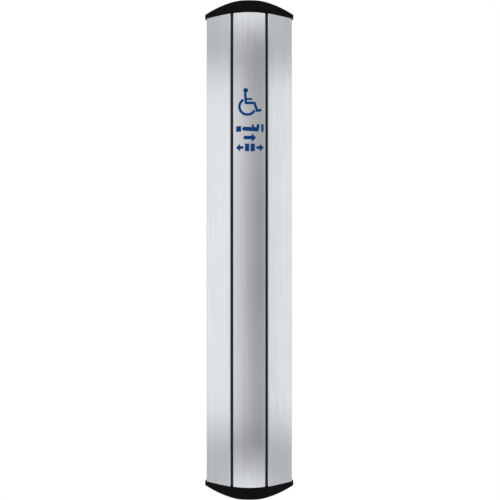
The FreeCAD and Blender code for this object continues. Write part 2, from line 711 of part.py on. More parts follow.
def terminal_block():
    """Two-pole terminal block. Wires enter from above and below, clamp screws from the front."""
    z0, z1 = TERMINAL_BLOCK_Z - BLOCK_LENGTH / 2, TERMINAL_BLOCK_Z + BLOCK_LENGTH / 2
    body = box(*BLOCK_X, PLATE_WALL, BLOCK_FRONT, z0, z1)
    tools = [box(BLOCK_X[0] + 6.9, BLOCK_X[0] + 8.6, BLOCK_FRONT - 1.5, BLOCK_FRONT, z0, z1)]
    for x in LANES.values():
        tools.append(rod_along_z(x, WIRE_D, WIRE_HOLE_RADIUS, z0, z1))
        for s in (-1, 1):
            tools.append(rod_along_d(x, TERMINAL_BLOCK_Z + s * CLAMP_OFFSET_Z, 2.3, WIRE_D, BLOCK_FRONT))
    hole_radius = BLOCK_SCREW_RADIUS + HOLE_FIT
    tools.append(rod_along_d(BLOCK_SCREW_X, TERMINAL_BLOCK_Z, hole_radius, PLATE_WALL, BLOCK_FRONT))
    tools.append(rod_along_d(BLOCK_SCREW_X, TERMINAL_BLOCK_Z, 3.0, BLOCK_SCREW_SEAT, BLOCK_FRONT))
    return cut_all(body, tools)


def terminal_clamp_screws():
    """Four clamp screws, each seated on its wire."""
    screws = []
    touch = WIRE_D + WIRE_RADIUS
    neck = WIRE_D + 3.0
    top = neck + 2.0
    for x in LANES.values():
        for s in (-1, 1):
            z = TERMINAL_BLOCK_Z + s * CLAMP_OFFSET_Z
            screw = joined([rod_along_d(x, z, 1.3, touch, neck), rod_along_d(x, z, 2.1, neck, top)])
            screws.append(screw.cut(box(x - 2.1, x + 2.1, top - 0.8, top, z - 0.3, z + 0.3)))
    return Part.makeCompound(screws)


def terminal_block_screw():
    return pan_screw_along_d(BLOCK_SCREW_X, TERMINAL_BLOCK_Z, BLOCK_SCREW_RADIUS, 0.4, BLOCK_SCREW_SEAT)


def wire_clips():
    """Nylon saddles that hold the pair of wires to the base plate."""
    x0, x1 = min(LANES.values()) - 2.5, max(LANES.values()) + 2.5
    clips = []
    for z in CLIP_STATIONS:
        saddle = box(x0, x1, PLATE_WALL, WIRE_D + 2.3, z - CLIP_HALF_Z, z + CLIP_HALF_Z)
        saddle = saddle.makeFillet(1.5, long_edges_at(saddle, x0, WIRE_D + 2.3))
        saddle = saddle.makeFillet(1.5, long_edges_at(saddle, x1, WIRE_D + 2.3))
        grooves = [
            rod_along_z(x, WIRE_D, WIRE_RADIUS + SCREW_FIT, z - CLIP_HALF_Z, z + CLIP_HALF_Z)
            for x in LANES.values()
        ]
        clips.append(cut_all(saddle, grooves))
    return Part.makeCompound(clips)


def cable_grommet():
    """Rubber bush in the cable entry. It has a flange inside and ends flush with the wall face."""
    barrel = rod_along_d(0, CABLE_ENTRY_Z, GROMMET_HOLE_RADIUS - SCREW_FIT, 0.0, GROMMET_FRONT)
    flange = rod_along_d(0, CABLE_ENTRY_Z, GROMMET_FLANGE_RADIUS, PLATE_WALL, GROMMET_FRONT)
    grommet = joined([barrel, flange])
    rim = [
        e for e in grommet.Edges
        if abs(e.BoundBox.YMin + GROMMET_FRONT) < 0.01 and e.BoundBox.XLength > 2 * GROMMET_HOLE_RADIUS + 1
    ]
    grommet = grommet.makeFillet(0.8, rim)
    return grommet.cut(rod_along_d(0, CABLE_ENTRY_Z, GROMMET_BORE_RADIUS, 0.0, GROMMET_FRONT))


# ================================================================ the base plate
WALL_SCREW_HOLE_RADIUS = 2.6
GANG_HOLE_RADIUS = 2.1


def base_plate():
    """Rear extrusion: a plate with raised rims, two hooks for the wings' toes and two screw ports."""
    hook_x1 = WING_INNER_X + LEG_WALL + TOE_REACH + 0.6 + HOOK_WALL
    hook_x0 = WING_INNER_X + LEG_WALL + 1.4
    hook_under = PLATE_WALL + TOE_HEIGHT + SLIDE_FIT
    half = [
        (RIM_WEB_X, 0.0),
        (RIM_WEB_X, RIM_UNDERSIDE),
        (RIM_END_X, RIM_UNDERSIDE),
        (RIM_END_X, RIM_TOP),
        (RIM_WEB_X - RIM_WEB_WALL, RIM_TOP),
        (RIM_WEB_X - RIM_WEB_WALL, PLATE_WALL),
        (hook_x1, PLATE_WALL),
        (hook_x1, hook_under + HOOK_LIP),
        (hook_x0, hook_under + HOOK_LIP),
        (hook_x0, hook_under),
        (hook_x1 - HOOK_WALL, hook_under),
        (hook_x1 - HOOK_WALL, PLATE_WALL),
    ]
    plate = prism(mirrored_outline(half), -BODY_TOP, BODY_TOP)
    for s in (-1, 1):
        port = rod_along_z(s * PORT_X, PORT_D, PORT_RADIUS, -BODY_TOP, BODY_TOP)
        web = box(s * PORT_X - 2.0, s * PORT_X + 2.0, PLATE_WALL - 0.5, PORT_D, -BODY_TOP, BODY_TOP)
        plate = plate.fuse(port).fuse(web)
    plate = plate.removeSplitter()
    tools = []
    for s in (-1, 1):
        x = s * PORT_X
        tools.append(rod_along_z(x, PORT_D, CAP_SCREW_RADIUS + SCREW_FIT, -BODY_TOP, BODY_TOP))
        slit = box(x - PORT_SLIT / 2, x + PORT_SLIT / 2, PORT_D, PORT_D + 5, -BODY_TOP, BODY_TOP)
        tools.append(slit)
    through = (-1.0, PLATE_WALL + 1.0)
    for sx in (-1, 1):
        for sz in (-1, 1):
            x, z = sx * WALL_SCREW_SPACING[0] / 2, sz * WALL_SCREW_SPACING[1] / 2
            tools.append(rod_along_d(x, z, WALL_SCREW_HOLE_RADIUS, *through))
    for sz in (-1, 1):
        gang_z = CABLE_ENTRY_Z + sz * GANG_BOX_SPACING / 2
        tools.append(rod_along_d(0, gang_z, GANG_HOLE_RADIUS, *through))
        for bz in (-BRACKET_SCREW_Z, BRACKET_SCREW_Z):
            z = sz * SWITCH_STATION + bz
            tools.append(rod_along_d(BRACKET_SCREW_X, z, BRACKET_SCREW_RADIUS + SCREW_FIT, *through))
    for z in GUIDE_STATIONS.values():
        tools.append(rod_along_d(0, z, POST_RIVET_RADIUS + SCREW_FIT, *through))
    tools.append(rod_along_d(BLOCK_SCREW_X, TERMINAL_BLOCK_Z, BLOCK_SCREW_RADIUS + SCREW_FIT, *through))
    tools.append(rod_along_d(0, CABLE_ENTRY_Z, GROMMET_HOLE_RADIUS, *through))
    return cut_all(plate, tools)


# ================================================================ the symbols on the bar
FILM = 0.12                      # thickness of the blue film
LINE = 4.7                       # stroke width of the wheelchair symbol
ROW_HEIGHT = 14.0


def film(shapes, z):
    """Wraps flat shapes, drawn about their middle in the XZ plane, over the bar's face at this height."""
    crown = Part.makeCylinder(BAR_CROWN_RADIUS + FILM, 2 * BODY_TOP, pt(0, CROWN_CENTRE_D, -BODY_TOP))
    metal = Part.makeCylinder(BAR_CROWN_RADIUS, 2 * BODY_TOP, pt(0, CROWN_CENTRE_D, -BODY_TOP))
    skin = crown.cut(metal)
    flat = joined([shape.extrude(V(0, -60, 0)) for shape in shapes])
    flat.translate(V(SYMBOL_X, 0, z))
    return flat.common(skin)


def flat_polygon(points):
    ring = [V(x, 0, z) for x, z in points]
    return Part.Face(Part.makePolygon(ring + ring[:1]))


def flat_disc(x, z, radius):
    return Part.Face(Part.Wire(Part.makeCircle(radius, V(x, 0, z), V(0, -1, 0))))


def stroke(points, width):
    """Flat shapes that make a line of even width with round joints and ends."""
    shapes = []
    for (x0, z0), (x1, z1) in zip(points, points[1:]):
        run = math.hypot(x1 - x0, z1 - z0)
        nx, nz = -(z1 - z0) / run * width / 2, (x1 - x0) / run * width / 2
        one_side = [(x0 + nx, z0 + nz), (x1 + nx, z1 + nz)]
        other_side = [(x1 - nx, z1 - nz), (x0 - nx, z0 - nz)]
        shapes.append(flat_polygon(one_side + other_side))
    return shapes + [flat_disc(x, z, width / 2) for x, z in points]


def flat_arc(x, z, radius, width, start, end, steps=16):
    turns = [math.radians(start + (end - start) * k / steps) for k in range(steps + 1)]
    outer = [(x + (radius + width / 2) * math.cos(a), z + (radius + width / 2) * math.sin(a)) for a in turns]
    inner = [(x + (radius - width / 2) * math.cos(a), z + (radius - width / 2) * math.sin(a)) for a in turns]
    return flat_polygon(outer + inner[::-1])


def wheelchair_symbol():
    """A seated figure in a wheelchair: head, back, thigh, shin and foot, an arm and an open wheel."""
    wheel = (-4.5, -9.2)
    shapes = [flat_disc(-7.7, 20.2, 4.4)]
    shapes += stroke([(-8.6, 14.2), (-7.5, -2.6), (8.2, -2.6), (13.4, -16.8), (19.2, -15.2)], LINE)
    shapes += stroke([(-7.8, 4.4), (2.6, 4.4)], LINE * 0.8)
    shapes.append(flat_arc(*wheel, 14.7, LINE, 121, 333, 40))
    return film(shapes, SYMBOL_STATION)


def arrow_head(x, pointing, size):
    return flat_polygon([(x, size), (x + pointing * size, 0), (x, -size)])


def hand_on_plate(half):
    """A cuff, a forearm and a raised palm in side view, pushing an upright plate."""
    plate = [(20.8, half), (25.2, half), (25.2, -half), (20.8, -half)]
    cuff = [(-25.2, 3.4), (-16.0, 3.4), (-16.0, -7.0), (-25.2, -7.0)]
    shapes = [flat_polygon(plate), flat_polygon(cuff)]
    shapes += stroke([(-10.4, -1.8), (7.0, -2.6), (12.6, -3.2)], 7.4)
    shapes += stroke([(13.2, -3.6), (15.2, 4.4)], 5.4)
    shapes += stroke([(8.4, -1.6), (4.8, 4.4)], 3.8)
    return shapes


def arrow_right():
    return stroke([(-8.6, 0.0), (4.0, 0.0)], 6.4) + [arrow_head(3.2, 1, 8.2)]


def parting_doors(half):
    """Two door leaves with an arrow beside each, pointing away from the middle."""
    shapes = []
    for s in (-1, 1):
        leaf = [(s * 1.2, half), (s * 9.0, half), (s * 9.0, -half), (s * 1.2, -half)]
        shapes.append(flat_polygon(leaf))
        shapes += stroke([(s * 14.2, 0.0), (s * 19.0, 0.0)], 5.2)
        shapes.append(arrow_head(s * 18.2, s, 7.2))
    return shapes


def action_symbols():
    """Three rows of plain symbols: a hand pressing a plate, an arrow, and two door leaves that part."""
    half = ROW_HEIGHT / 2
    rows = zip((hand_on_plate(half), arrow_right(), parting_doors(half)), ROW_STATIONS)
    return Part.makeCompound([solid for shapes, z in rows for solid in film(shapes, z).Solids])


# ================================================================ the end caps
CAP_HALF = BODY_HALF + CAP_SIDE_OVERHANG
CAP_SEAT = 9.5                   # joint plane to the seat of the screw's head
CAP_SCREW_LENGTH = 22.0
CAP_LUG_X = (WING_INNER_X + LEG_WALL + SLIDE_FIT, WING_INNER_X + LEG_WALL + 6.0)
CAP_LUG_D = (12.0, LEG_THICK_FROM - 4.0)         # the lug stands beside the leg of a wing
CAP_LUG_REACH = 10.0


def cap_outline(inset_front, inset_side, rear):
    """Outline of the cap, or of a surface inside it, as seen from the end."""
    half = CAP_HALF - inset_side
    rise = CAP_FRONT_OVERHANG - inset_front
    shoulder_x = (BAR_HALF + WING_INNER_X) / 2
    shoulder_d = (bar_face_depth(BAR_HALF) + WING_INNER_DEPTH) / 2 + rise
    edge_d = WING_EDGE_DEPTH + rise
    middle = ((shoulder_x + half) / 2, (shoulder_d + edge_d) / 2 + WING_BULGE)
    return [
        (-half, rear),
        (-half, edge_d),
        ((-middle[0], middle[1]), (-shoulder_x, shoulder_d)),
        ((0.0, BAR_DEPTH + rise), (shoulder_x, shoulder_d)),
        (middle, (half, edge_d)),
        (half, rear),
    ]


def arch(inset):
    """A block under the cap's arch, or under a surface that lies inset below it."""
    top = BODY_TOP + CAP_HEIGHT - inset
    radius = CAP_ARCH_RADIUS - inset
    crest_x = CAP_CREST_WIDTH / 2
    reach = math.radians(40)
    base_z = BODY_TOP - CAP_HEIGHT

    def on_shoulder(side, angle):
        x = side * (crest_x + radius * math.sin(angle))
        return V(x, 10.0, top - radius * (1 - math.cos(angle)))

    edges = [Part.LineSegment(on_shoulder(-1, 0), on_shoulder(1, 0)).toShape()]
    for side in (1, -1):
        start, middle, end = (on_shoulder(side, angle) for angle in (0, reach / 2, reach))
        edges.append(Part.Arc(start, middle, end).toShape())
        edges.append(Part.LineSegment(end, V(end.x, 10.0, base_z)).toShape())
    ends = [on_shoulder(side, reach).x for side in (-1, 1)]
    edges.append(Part.LineSegment(V(ends[0], 10.0, base_z), V(ends[1], 10.0, base_z)).toShape())
    return Part.Face(Part.Wire(Part.__sortEdges__(edges))).extrude(V(0, -80, 0))


def cap_lug(side, z0, z1):
    x0, x1 = sorted(side * x for x in CAP_LUG_X)
    return box(x0, x1, *CAP_LUG_D, z0, z1)


def end_cap():
    """The upper cap: an arched shell with screw bosses and two lugs that locate it in the wings."""
    top = BODY_TOP + CAP_HEIGHT + 1
    solid = prism(cap_outline(0, 0, 0.0), BODY_TOP, top).common(arch(0))
    rim = []
    for edge in solid.Edges:
        bounds = edge.BoundBox
        runs_back = bounds.YLength > bounds.XLength + 5 and bounds.ZLength < 0.1
        if bounds.ZMin > BODY_TOP + 1 and bounds.YMin < -0.01 and not runs_back:
            rim.append(edge)
    for side in (-1, 1):
        upright = long_edges_at(solid, side * CAP_HALF, WING_EDGE_DEPTH + CAP_FRONT_OVERHANG)
        rim += [edge for edge in upright if not any(edge.isSame(other) for other in rim)]
    outer = solid.makeFillet(CAP_EDGE_RADIUS, rim)
    lip = [
        edge for edge in outer.Edges
        if abs(edge.BoundBox.ZMin - BODY_TOP) < 0.01
        and edge.BoundBox.ZLength < 0.01
        and edge.BoundBox.YMin < -0.01
    ]
    outer = outer.makeFillet(CAP_LIP_RADIUS, lip)
    hollow = prism(cap_outline(CAP_FRONT_WALL, CAP_SIDE_WALL, CAP_FRONT_WALL), BODY_TOP, top)
    hollow = hollow.common(arch(CAP_FRONT_WALL))
    bosses = []
    for s in (-1, 1):
        bosses.append(rod_along_z(s * PORT_X, PORT_D, 5.8, BODY_TOP, top))
        bosses.append(cap_lug(s, BODY_TOP, top))
    hollow = hollow.cut(Part.makeCompound(bosses))
    shell = outer.cut(hollow)
    for s in (-1, 1):
        shell = shell.fuse(cap_lug(s, BODY_TOP - CAP_LUG_REACH, BODY_TOP + 2))
    shell = shell.removeSplitter()
    holes = []
    for s in (-1, 1):
        x = s * PORT_X
        holes.append(rod_along_z(x, PORT_D, CAP_SCREW_RADIUS + HOLE_FIT, BODY_TOP, top))
        holes.append(rod_along_z(x, PORT_D, 4.6, BODY_TOP + CAP_SEAT, top))
    return cut_all(shell, holes)


def cap_screws():
    """Two pan-head screws that hold the upper cap to the ports of the base plate."""
    seat = BODY_TOP + CAP_SEAT
    head = 2.4
    screws = []
    for s in (-1, 1):
        x = s * PORT_X
        shank = rod_along_z(x, PORT_D, CAP_SCREW_RADIUS, seat - CAP_SCREW_LENGTH, seat)
        pan = rod_along_z(x, PORT_D, 4.0, seat, seat + head)
        rim = [e for e in pan.Edges if abs(e.BoundBox.ZMin - seat - head) < 0.01 and e.BoundBox.XLength > 7]
        pan = pan.makeFillet(0.9, rim)
        socket = hex_along(pt(x, PORT_D, seat + head), (0, 0, -1), 2.5, 1.6)
        screws.append(shank.fuse(pan).removeSplitter().cut(socket))
    return Part.makeCompound(screws)


# ================================================================ the whole part
def build():
    os.makedirs("parts", exist_ok=True)
    save("base_plate", base_plate())
    for side, place in (("right", lambda s: s), ("left", mirror_x)):
        save(f"{side}_wing_panel", place(wing_panel()))
        save(f"{side}_gap_seal", place(gap_seal()))
    save("push_bar", push_bar())
    save("wheelchair_symbol", wheelchair_symbol())
    save("action_symbols", action_symbols())
    for end, place in (("top", lambda s: s), ("bottom", mirror_z)):
        save(f"{end}_end_cap", place(end_cap()))
        save(f"{end}_cap_screws", place(cap_screws()))
    for name, z in GUIDE_STATIONS.items():
        save(f"guide_post_{name}", guide_post(z))
        save(f"guide_block_{name}", guide_block(z))
        save(f"return_spring_{name}", return_spring(z))
    save("block_grub_screws", Part.makeCompound([grub_screw(z) for z in GUIDE_STATIONS.values()]))
    save("rubber_buffers", rubber_buffers())
    switch_pieces = {
        "switch_case": switch_case,
        "switch_plunger": switch_plunger,
        "switch_lever": switch_lever,
        "switch_lever_pin": switch_lever_pin,
        "switch_terminals": switch_terminals,
        "switch_bracket": switch_bracket,
        "switch_screws": switch_screws,
        "switch_nuts": switch_nuts,
        "bracket_screws": bracket_screws,
        "striker": striker,
        "striker_screw": striker_screw,
    }
    for name, make in switch_pieces.items():
        save(f"upper_{name}", make(SWITCH_STATION))
        save(f"lower_{name}", mirror_z(make(SWITCH_STATION)))
    save("upper_switch_wires", switch_wires(1))
    save("lower_switch_wires", switch_wires(-1))
    save("wire_clips", wire_clips())
    save("terminal_block", terminal_block())
    save("terminal_clamp_screws", terminal_clamp_screws())
    save("terminal_block_screw", terminal_block_screw())
    save("cable_grommet", cable_grommet())


build()
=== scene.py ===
# %% [markdown]
# # A full-length press bar for a powered door
#
# The object is a tall, shallow housing that is screwed to a wall. Two fixed wing panels and a sprung push
# bar between them are aluminium extrusions. They are brushed along their length and then anodised clear.
# Both ends are closed by black moulded caps, and two rubber strips fill the gaps beside the bar.
#
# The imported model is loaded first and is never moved. Its pieces already have their true shape and place,
# so most of the work here is finish: what each material is, how it was made and how it has worn.
# The return springs are the exception. The model holds each as a plain helix, and they are wound again here
# with closed ends, from the model's own sizes.

import math

import bpy
from mathutils import Matrix, Vector


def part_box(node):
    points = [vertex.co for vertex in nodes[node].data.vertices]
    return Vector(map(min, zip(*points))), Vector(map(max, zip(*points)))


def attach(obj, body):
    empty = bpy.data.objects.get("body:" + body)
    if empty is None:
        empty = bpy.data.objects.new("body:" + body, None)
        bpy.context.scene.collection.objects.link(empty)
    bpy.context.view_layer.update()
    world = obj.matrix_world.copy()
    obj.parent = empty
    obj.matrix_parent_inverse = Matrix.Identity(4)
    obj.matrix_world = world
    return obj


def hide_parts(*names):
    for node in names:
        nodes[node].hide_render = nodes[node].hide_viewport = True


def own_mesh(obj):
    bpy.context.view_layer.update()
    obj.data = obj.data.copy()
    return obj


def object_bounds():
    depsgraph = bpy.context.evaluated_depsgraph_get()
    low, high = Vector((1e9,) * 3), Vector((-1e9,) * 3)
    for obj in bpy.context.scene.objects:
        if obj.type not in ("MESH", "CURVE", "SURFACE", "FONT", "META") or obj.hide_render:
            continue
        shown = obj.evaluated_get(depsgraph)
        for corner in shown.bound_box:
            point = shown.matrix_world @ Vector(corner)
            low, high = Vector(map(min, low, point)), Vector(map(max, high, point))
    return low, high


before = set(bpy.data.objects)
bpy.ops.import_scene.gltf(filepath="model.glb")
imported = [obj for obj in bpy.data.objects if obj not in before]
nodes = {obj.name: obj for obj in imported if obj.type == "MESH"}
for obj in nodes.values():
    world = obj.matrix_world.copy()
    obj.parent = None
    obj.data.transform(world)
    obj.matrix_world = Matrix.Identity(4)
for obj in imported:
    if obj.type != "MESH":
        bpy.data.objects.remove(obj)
cad_box = [list(corner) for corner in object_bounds()]
low, high = Vector(cad_box[0]), Vector(cad_box[1])
MM = 0.001
print("size of the model in mm:", [round(side / MM, 1) for side in high - low])

# %% [markdown]
# ## Colour
#
# Colours are easiest to choose and to talk about as sRGB hex values, the way a paint chart gives them.
# Cycles works in linear light, so one function does the conversion.


# %% One function for colours
def srgb(code):
    """Linear colour from a hex value such as "c8cacd"."""
    channels = [int(code[i : i + 2], 16) / 255 for i in (0, 2, 4)]
    linear = [c / 12.92 if c <= 0.04045 else ((c + 0.055) / 1.055) ** 2.4 for c in channels]
    return (*linear, 1.0)


print("mid grey in linear light:", [round(c, 3) for c in srgb("808080")])

# %% [markdown]
# ## Building materials from nodes
#
# Every finish below is a small graph: a place in metres, one or more patterns with a real scale, and a
# Principled shader. Writing each node out takes many lines, so one function adds any node, sets its
# properties and its inputs, and links whatever is given as another node or socket.
#
# Three kinds of node come back often. A noise makes a pattern between 0 and 1. Map Range turns part of that
# pattern into numbers such as a roughness: its inputs are the value, the range it comes from and the range it
# goes to. A colour ramp turns it into colours. A colour Mix has several sockets of the same name, so they go
# by number: 0 is the share, 6 and 7 are the two colours, and output 2 is the mixed colour.


# %% One function that adds a node
def add(tree, kind, inputs=(), stops=(), **settings):
    """Adds a node to a tree.

    Inputs go in order or by name. A plain value is set, and a socket or another node is linked.
    Stops are the (position, colour) pairs of a colour ramp. Settings are the node's own properties.
    """
    node = tree.nodes.new(kind)
    for name, value in settings.items():
        setattr(node, name, value)
    pairs = inputs.items() if isinstance(inputs, dict) else enumerate(inputs)
    for socket, value in pairs:
        if isinstance(value, bpy.types.Node):
            value = value.outputs[0]
        if isinstance(value, bpy.types.NodeSocket):
            tree.links.new(value, node.inputs[socket])
        else:
            node.inputs[socket].default_value = value
    if stops:
        elements = node.color_ramp.elements
        while len(elements) < len(stops):
            elements.new(1.0)
        for element, (position, colour) in zip(elements, stops):
            element.position = position
            element.color = colour
    return node


print("one function adds every node below")


# %% A material with an empty graph
def new_material(name):
    """A material, its tree, and the place of each point on the piece, in metres."""
    material = bpy.data.materials.new(name)
    material.use_nodes = True
    tree = material.node_tree
    tree.nodes.clear()
    return material, tree, add(tree, "ShaderNodeTexCoord").outputs["Object"]


print("materials start from object coordinates, so a pattern keeps its size on every piece")

# %% [markdown]
# ## Brushed and anodised aluminium
#
# The extrusions leave the die with faint lines along their length. A belt then brushes them in the same
# direction, and the anodising tank turns the surface into a hard, clear, slightly milky oxide. The eye
# reads three things: a highlight that is drawn out across the grain, fine streaks along it, and a softness
# that keeps any reflection from being sharp.
#
# The streaks could be an image, but a noise that is squeezed across X and stretched along Z does the same
# at any size. Real scratches are about 0.05 mm wide. That is too fine to show from a metre away, so the
# streaks below are drawn several times wider, in two widths, and a much broader noise varies the oxide.


# %% Brushed, clear-anodised aluminium
def anodised_aluminium(name, colour, darker, roughness, streak):
    material, tree, place = new_material(name)
    drawn_out = add(tree, "ShaderNodeMapping", {"Vector": place, "Scale": (1.0, 1.0, 0.006)})
    fine = add(
        tree,
        "ShaderNodeTexNoise",
        {"Vector": drawn_out, "Scale": 1 / (0.45 * MM), "Detail": 3.0, "Roughness": 0.6},
    )
    shorter = add(tree, "ShaderNodeMapping", {"Vector": place, "Scale": (1.0, 1.0, 0.012)})
    broad = add(
        tree,
        "ShaderNodeTexNoise",
        {"Vector": shorter, "Scale": 1 / (3.2 * MM), "Detail": 2.0, "Roughness": 0.5},
    )
    bath = add(
        tree,
        "ShaderNodeTexNoise",
        {"Vector": place, "Scale": 1 / (70 * MM), "Detail": 2.0, "Roughness": 0.5},
    )
    lines = add(tree, "ShaderNodeMath", [fine, broad], operation="MULTIPLY")
    depth = add(tree, "ShaderNodeMapRange", [lines, 0.10, 0.46, 0.0, streak])
    tint = add(tree, "ShaderNodeMix", {0: depth, 6: srgb(colour), 7: srgb(darker)}, data_type="RGBA")
    brushing = add(tree, "ShaderNodeMapRange", [fine, 0.3, 0.7, roughness - 0.03, roughness + 0.03])
    oxide = add(tree, "ShaderNodeMapRange", [bath, 0.3, 0.7, -0.02, 0.02])
    shader = add(
        tree,
        "ShaderNodeBsdfPrincipled",
        {
            "Base Color": tint.outputs[2],
            "Metallic": 1.0,
            "Roughness": add(tree, "ShaderNodeMath", [brushing, oxide], operation="ADD"),
            "Anisotropic": 0.8,
            "Tangent": add(tree, "ShaderNodeTangent", direction_type="RADIAL", axis="Z"),
            "Normal": add(tree, "ShaderNodeBump", {"Height": fine, "Strength": 0.07, "Distance": 0.02 * MM}),
            "Coat Weight": 0.12,
            "Coat Roughness": 0.35,
        },
    )
    add(tree, "ShaderNodeOutputMaterial", {"Surface": shader})
    return material


WING_METAL = anodised_aluminium("brushed_anodised_aluminium_wing", "dcdfe3", "c6c9cd", 0.21, 0.5)
BAR_METAL = anodised_aluminium("brushed_anodised_aluminium_bar", "d4d6d9", "b9bbbf", 0.21, 0.4)
print("made", WING_METAL.name, "and", BAR_METAL.name)

# %% [markdown]
# ## Plain mill-finish aluminium
#
# Nobody sees the base plate once it is on the wall, so it is left as it came from the die. Its grey is
# duller, and the die lines are deeper because nothing has brushed them away. A stretched noise draws the
# lines in two widths, and it drives the colour, the roughness and the bump together, as a real groove does.


# %% Mill-finish aluminium
def mill_aluminium():
    material, tree, place = new_material("mill_finish_aluminium")
    along = add(tree, "ShaderNodeMapping", {"Vector": place, "Scale": (1.0, 1.0, 0.003)})
    die = add(
        tree,
        "ShaderNodeTexNoise",
        {"Vector": along, "Scale": 1 / (1.1 * MM), "Detail": 4.0, "Roughness": 0.65},
    )
    bands = add(
        tree,
        "ShaderNodeTexNoise",
        {"Vector": along, "Scale": 1 / (9.0 * MM), "Detail": 2.0, "Roughness": 0.5},
    )
    groove = add(tree, "ShaderNodeMath", [die, bands], operation="MULTIPLY")
    greys = [(0.14, srgb("8f9294")), (0.4, srgb("b3b6b8"))]
    shader = add(
        tree,
        "ShaderNodeBsdfPrincipled",
        {
            "Base Color": add(tree, "ShaderNodeValToRGB", [groove], stops=greys),
            "Metallic": 1.0,
            "Roughness": add(tree, "ShaderNodeMapRange", [groove, 0.12, 0.4, 0.56, 0.40]),
            "Normal": add(tree, "ShaderNodeBump", {"Height": die, "Strength": 0.35, "Distance": 0.03 * MM}),
        },
    )
    add(tree, "ShaderNodeOutputMaterial", {"Surface": shader})
    return material


MILL_METAL = mill_aluminium()
print("made", MILL_METAL.name)

# %% [markdown]
# ## Moulded plastics
#
# The caps are black ABS from a mould whose steel was spark-eroded, which leaves a fine, even pebble on the
# plastic. It is nearly black, and what shows is a soft grey sheen where the rounded edge turns to the light.
# The same function serves the acetal blocks, the nylon clips and the switch cases. They differ only in
# colour, in how glossy the mould was, and in the size of the pebble.


# %% Moulded plastic
def moulded_plastic(name, colour, lighter, roughness, pebble_mm, depth_mm, sheen=0.5):
    material, tree, place = new_material(name)
    pebble = add(
        tree,
        "ShaderNodeTexNoise",
        {"Vector": place, "Scale": 1 / (pebble_mm * MM), "Detail": 2.0, "Roughness": 0.55},
    )
    flow = add(tree, "ShaderNodeTexNoise", {"Vector": place, "Scale": 1 / (22 * MM), "Detail": 3.0})
    tints = [(0.32, srgb(colour)), (0.68, srgb(lighter))]
    bump = {"Height": pebble, "Strength": 0.35, "Distance": depth_mm * MM}
    matt = add(tree, "ShaderNodeMapRange", [flow, 0.3, 0.7, roughness - 0.04, roughness + 0.05])
    shader = add(
        tree,
        "ShaderNodeBsdfPrincipled",
        {
            "Base Color": add(tree, "ShaderNodeValToRGB", [flow], stops=tints),
            "Roughness": matt,
            "IOR": 1.5,
            "Specular IOR Level": sheen,
            "Normal": add(tree, "ShaderNodeBump", bump),
        },
    )
    add(tree, "ShaderNodeOutputMaterial", {"Surface": shader})
    return material


CAP_PLASTIC = moulded_plastic("spark_eroded_black_abs", "060606", "0b0b0c", 0.46, 0.9, 0.10, sheen=0.06)
ACETAL = moulded_plastic("natural_acetal", "d3d2c8", "dedcd2", 0.34, 1.6, 0.02)
NYLON = moulded_plastic("natural_nylon", "cfd0cc", "dcdcd6", 0.42, 1.2, 0.04)
SWITCH_PHENOLIC = moulded_plastic("black_phenolic", "17181a", "202224", 0.40, 0.6, 0.04)
BUTTON_PLASTIC = moulded_plastic("red_polyester", "8c1612", "9c1d18", 0.30, 0.8, 0.01)
WIRE_JACKET = moulded_plastic("red_pvc_insulation", "8f1411", "a01a16", 0.38, 1.0, 0.02)
print("made six plastics")

# %% [markdown]
# ## Rubber
#
# The strips in the gaps and the bush round the cable are extruded or moulded EPDM. It is matt and looks a
# little blue beside the warm black of the caps. Dust settles on it, which lifts the black in patches.


# %% Rubber
def rubber(name, colour, dusty):
    material, tree, place = new_material(name)
    dust = add(
        tree,
        "ShaderNodeTexNoise",
        {"Vector": place, "Scale": 1 / (9 * MM), "Detail": 5.0, "Roughness": 0.7},
    )
    skin = add(tree, "ShaderNodeTexNoise", {"Vector": place, "Scale": 1 / (0.5 * MM), "Detail": 2.0})
    tints = [(0.4, srgb(colour)), (0.75, srgb(dusty))]
    shader = add(
        tree,
        "ShaderNodeBsdfPrincipled",
        {
            "Base Color": add(tree, "ShaderNodeValToRGB", [dust], stops=tints),
            "Roughness": add(tree, "ShaderNodeMapRange", [dust, 0.3, 0.7, 0.55, 0.8]),
            "IOR": 1.5,
            "Specular IOR Level": 0.25,
            "Normal": add(tree, "ShaderNodeBump", {"Height": skin, "Strength": 0.3, "Distance": 0.05 * MM}),
        },
    )
    add(tree, "ShaderNodeOutputMaterial", {"Surface": shader})
    return material


SEAL_RUBBER = rubber("extruded_epdm_seal", "0b1016", "151c24")
BUSH_RUBBER = rubber("moulded_epdm", "101011", "1d1d1e")
print("made two rubbers")

# %% [markdown]
# ## Small metal parts
#
# Screws, posts and brackets are stainless or zinc-plated steel. Turned parts carry fine rings from the
# lathe, and plated ones have a soft bloom. At this size a fine noise in the roughness is enough to keep
# a highlight from looking like glass.


# %% Steel, spring wire and brass
def small_metal(name, colour, darker, roughness, grain_mm):
    material, tree, place = new_material(name)
    grain = add(
        tree,
        "ShaderNodeTexNoise",
        {"Vector": place, "Scale": 1 / (grain_mm * MM), "Detail": 4.0, "Roughness": 0.6},
    )
    tints = [(0.35, srgb(darker)), (0.65, srgb(colour))]
    matt = add(tree, "ShaderNodeMapRange", [grain, 0.3, 0.7, roughness - 0.06, roughness + 0.08])
    shader = add(
        tree,
        "ShaderNodeBsdfPrincipled",
        {
            "Base Color": add(tree, "ShaderNodeValToRGB", [grain], stops=tints),
            "Metallic": 1.0,
            "Roughness": matt,
            "Normal": add(tree, "ShaderNodeBump", {"Height": grain, "Strength": 0.12, "Distance": 0.02 * MM}),
        },
    )
    add(tree, "ShaderNodeOutputMaterial", {"Surface": shader})
    return material


